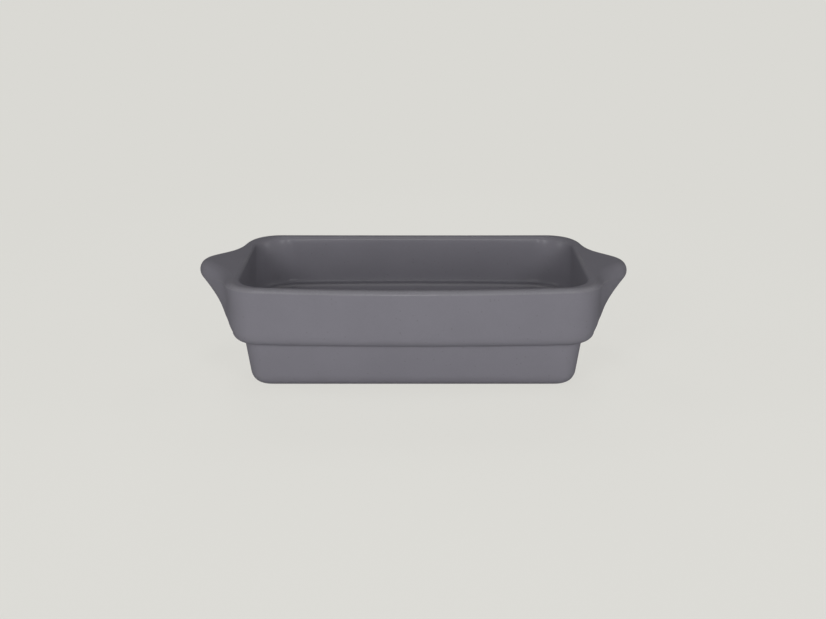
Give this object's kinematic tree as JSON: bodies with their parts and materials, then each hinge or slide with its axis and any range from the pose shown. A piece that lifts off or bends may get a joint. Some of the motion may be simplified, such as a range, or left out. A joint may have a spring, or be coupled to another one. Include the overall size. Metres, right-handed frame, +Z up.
{
  "type": "roasting dish",
  "caption": "Rectangular ceramic roasting dish with rounded corners, a stepped wall over a narrower tub, a ledge inside and lug handles at the ends.",
  "frame": {"origin": "on the table under the middle of the dish, at the height of the foot ring's resting face", "axes": "+X along the length towards the right handle, +Y away from the viewer of the picture, +Z up out of the mouth"},
  "size_m": [0.329, 0.159, 0.0844],
  "materials": {
    "glaze": "dark grey satin glaze",
    "bare_clay": "unglazed, fine and matt"
  },
  "bodies": {
    "root": {"dish_body": "glaze", "left_handle": "glaze", "right_handle": "glaze", "foot_ring": "bare_clay"}
  },
  "joints": []
}
